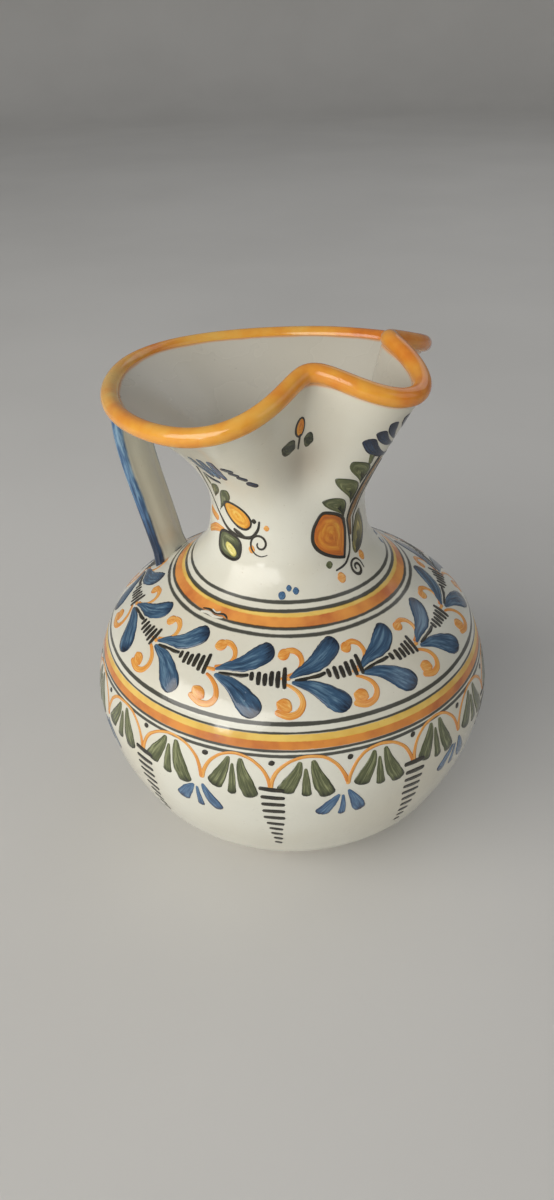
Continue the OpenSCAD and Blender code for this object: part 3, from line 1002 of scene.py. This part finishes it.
def paint_neck():
    fruits = [brush_patch(PLUM_SHAPE, COLOUR_LIFT)]
    pears = [brush_patch(PEAR_SHAPE, COLOUR_LIFT), brush_patch(BUD_SHAPE, COLOUR_LIFT)]
    hearts = [brush_patch(POD_HEART, LINE_LIFT)]
    orange = [
        neck_stroke([(-141, 164), (-129, 168), (-119, 169)], [1.6, 2.0, 1.3], ORANGE_LIFT, 73),
        neck_stroke([(-140, 174), (-128, 173)], [1.8, 1.5], ORANGE_LIFT, 74),
        neck_dab((-81, 176), (1.9, 1.5), ORANGE_LIFT, 75),
        neck_dab((-92, 165), (2.2, 2.0), ORANGE_LIFT, 76),
        neck_dab((-32, 151), (2.7, 2.0), ORANGE_LIFT, 78),
        neck_dab((-9, 155), (2.4, 2.2), ORANGE_LIFT, 79)]
    ochre = [neck_stroke([(-15, 208), (-17, 190), (-16, 167)], [.7, 1.3, 1.7, .7], ORANGE_LIFT, 81)]
    green = [
        *[brush_patch(leaf, COLOUR_LIFT) for leaf in SPRAY_LEAVES + SPRIG_LEAVES + [POD_SHAPE]],
        neck_stroke([(-117, 200), (-119, 195)], [.6, .8], COLOUR_LIFT, 83),
        neck_stroke([(-22, 212), (-21, 207)], [1.0, .6], ORANGE_LIFT, 84),
        neck_dab((-38, 157), (2.3, 1.6), COLOUR_LIFT, 91)]
    olive = [brush_patch(TALL_LEAF, COLOUR_LIFT)]
    dark_green = [neck_dab((-66, 217), (3.4, 3.9), COLOUR_LIFT, 86, -25),
                  neck_dab((-52, 219), (3.2, 3.7), COLOUR_LIFT, 87, -15)]
    navy = [comma_stroke(start, end, bow, half, 93 + i) for i, (start, end, bow, half) in enumerate((
        ((-10, 209), (-26, 219), 2.2, 1.9), ((-10, 214), (-23, 223), 1.6, 1.5),
        ((-14, 218), (-20, 227), 0.8, 1.3), ((-9, 221), (-15, 229), 0.8, 1.3),
        ((-4, 224), (-9, 232), 0.8, 1.2), ((3, 227), (-2, 235), 0.8, 1.1)))]
    blue = [
        *[neck_dab(c, r, COLOUR_LIFT, 98 + i, t) for i, (c, r, t) in enumerate((
            ((-70, 148), (2.0, 1.5), 60), ((-66, 150.5), (1.5, 1.2), 0), ((-62, 149.5), (1.7, 1.3), 0)))],
        *[neck_stroke([(turn, 214), (turn - 1, 208), (turn + lean, 203)], [half * .6, half, half * .7],
                      COLOUR_LIFT, 101 + i)
          for i, (turn, lean, half) in enumerate(((-110, 2, 1.3), (-105, 1, 1.6), (-100, 0, 1.6)))]]
    navy += [
        neck_stroke([(-115, 202), (-112, 200), (-107, 199)], [.8, 1.2, .9], COLOUR_LIFT, 104),
        *[neck_stroke([(turn, z), (turn + 2.5, z - 1)], [half, half], COLOUR_LIFT, 105 + i)
          for i, (turn, z, half) in enumerate((
              (-96, 210, 1.1), (-94, 207.5, .9), (-91, 205, 1.0), (-87, 201.5, 1.3)))]]
    chip = [brush_stroke(across_neck([(-111, 137.6), (-107, 138.2), (-103, 137.8), (-98.5, 138.3)]),
                         [.3, .55, .4, .25], COLOUR_LIFT, seed=140),
            brush_stroke(across_neck([(-105.5, 139.4), (-103, 138.9), (-101, 139.6)]), [.3, .4, .25],
                         COLOUR_LIFT, seed=141)]
    black = [
        neck_stroke([(-111, 138.6), (-107, 139.1), (-103, 138.7), (-98.5, 139.2), (-96, 138.4)],
                    [.2, .35, .25, .35, .2], LINE_LIFT, 142),
        neck_stroke([(-116, 206), (-129, 190), (-127, 179), (-113, 171), (-95, 170), (-88, 174), (-86, 179)],
                    [.4, .5, .6, .75, .8, .7, .5], LINE_LIFT, 120),
        neck_stroke([(-107, 172), (-98, 170)], [.8, 1.0, .6], LINE_LIFT, 121),
        neck_outline(PLUM_SHAPE, .6, 122), neck_outline(POD_SHAPE, .6, 123),
        neck_dab((-90, 179), (1.7, 1.4), LINE_LIFT, 124),
        curl_stroke((-86, 168), 6, -50, -1.4, .5, 125),
        neck_outline(BUD_SHAPE, .42, 126),
        neck_stroke([(-59, 222), (-60, 215)], [.5, .5, .35], LINE_LIFT, 127),
        neck_outline(PEAR_SHAPE, .8, 128),
        neck_stroke([(-17, 210), (-19, 193), (-20, 182), (-18, 163), (-24, 156), (-34, 154)],
                    [.5, .6, .65, .55, .5, .35], LINE_LIFT, 129),
        neck_stroke([(-12, 206), (-13, 190), (-12, 175), (-15, 163)], [.35, .5, .55, .4], LINE_LIFT, 130),
        curl_stroke((-18, 152), 4, -20, 1.6, .55, 131)]
    for marks, name, paint in (
            (orange, "neck_orange_dabs", ORANGE), (ochre, "neck_ochre_stem", OCHRE),
            (green, "neck_green_leaves", GREEN), (dark_green, "neck_bud_leaves", DARK_GREEN),
            (olive, "neck_tall_leaf", OLIVE), (blue, "neck_blue_dabs", PETAL_BLUE),
            (navy, "neck_navy_crescents", NAVY), (fruits, "neck_plum", YELLOW),
            (pears, "neck_pear_and_bud", PEAR), (hearts, "neck_pod_heart", PALE_YELLOW),
            (chip, "chipped_ring", CHIP_WHITE), (black, "neck_black_lines", BLACK)):
        marks += [twin for twin in map(far_side_twin, list(marks)) if twin]
        for mark in marks:
            flat = points_of(mark)
            move_points(mark, neck_place(*flat.T) * MM)
        fired_on(marks, name, paint)


paint_shoulder()
paint_belly()
paint_neck()


# ---------------------------------------------------------------- studio

def lay_floor():
    clear_selection()
    bpy.ops.mesh.primitive_circle_add(vertices=128, radius=3.6, location=(0, 0, 0), fill_type="NGON")
    floor = bpy.context.active_object
    floor.name = "studio_floor"
    bpy.ops.object.mode_set(mode="EDIT")
    bpy.ops.mesh.select_mode(type="EDGE")
    work = bmesh.from_edit_mesh(floor.data)
    for face in work.faces:
        face.select_set(False)
    for edge in work.edges:
        edge.select = True
    for rise, grow in ((0.05, 1.06), (0.12, 1.05), (0.2, 1.035), (0.3, 1.02), (0.6, 1.01), (1.2, 1.0)):
        bpy.ops.mesh.extrude_edges_move()
        bpy.ops.transform.translate(value=(0, 0, rise))
        bpy.ops.transform.resize(value=(grow, grow, 1))
    bpy.ops.object.mode_set(mode="OBJECT")
    bpy.ops.object.shade_smooth()
    f = Finish("pale_paper")
    tone = f.mix(f.steps(f.cloud(3, 3, 70.0), 0.3, 0.7), colour(214, 212, 208), colour(219, 217, 213))
    f.put(f.shader.inputs["Base Color"], tone)
    f.shader.inputs["Roughness"].default_value = 0.7
    floor.data.materials.append(f.material)


def hang_light(name, turn, rise, distance, size, watts, warm):
    lamp = bpy.data.lights.new(name, "AREA")
    lamp.shape = "RECTANGLE"
    lamp.size, lamp.size_y = size
    lamp.energy = watts
    lamp.color = warm
    stand = bpy.data.objects.new(name, lamp)
    bpy.context.scene.collection.objects.link(stand)
    a, e = math.radians(turn), math.radians(rise)
    aim = Vector((0, 0, 0.13))
    toward = Vector((math.cos(a) * math.cos(e), math.sin(a) * math.cos(e), math.sin(e)))
    stand.location = aim + distance * toward
    stand.rotation_euler = (aim - stand.location).to_track_quat("-Z", "Y").to_euler()


CAMERA_STANDS = Vector((0.165877, -0.363985, 0.370))


def set_camera():
    """The camera looks down on the jug from the side of its pinched mouth."""
    heading, tilt, roll = math.radians(115.43), math.radians(32.272), math.radians(-1.745)
    ahead = Vector((math.cos(heading), math.sin(heading), 0))
    side = Vector((math.sin(heading), -math.cos(heading), 0))
    up = Vector((0, 0, 1))
    forward = ahead * math.cos(tilt) - up * math.sin(tilt)
    above = up * math.cos(tilt) + ahead * math.sin(tilt)
    right = side * math.cos(roll) + above * math.sin(roll)
    top = above * math.cos(roll) - side * math.sin(roll)
    lens = bpy.data.cameras.new("camera")
    lens.lens, lens.sensor_width = 28.5, 36
    lens.clip_start, lens.clip_end = 0.01, 40
    camera = bpy.data.objects.new("camera", lens)
    bpy.context.scene.collection.objects.link(camera)
    camera.matrix_world = Matrix((
        (right.x, top.x, -forward.x, CAMERA_STANDS.x), (right.y, top.y, -forward.y, CAMERA_STANDS.y),
        (right.z, top.z, -forward.z, CAMERA_STANDS.z), (0, 0, 0, 1)))
    bpy.context.scene.camera = camera


lay_floor()
hang_light("window", -112, 26, 2.0, (2.4, 1.3), 36, (1.0, 0.98, 0.94))
hang_light("pane", -103, 3, 1.5, (0.2, 0.14), 1.1, (1.0, 1.0, 1.0))
hang_light("right_soft", 0, 30, 2.4, (1.8, 1.4), 4, (0.94, 0.96, 1.0))
hang_light("back_soft", 75, 40, 2.6, (2.0, 1.6), 6, (0.97, 0.98, 1.0))
set_camera()
world = bpy.data.worlds.new("studio")
bpy.context.scene.world = world
world.use_nodes = True
sky = world.node_tree.nodes["Background"]
sky.inputs["Color"].default_value = (0.8, 0.82, 0.85, 1)
sky.inputs["Strength"].default_value = 0.28
bpy.context.scene.view_settings.view_transform = "Standard"
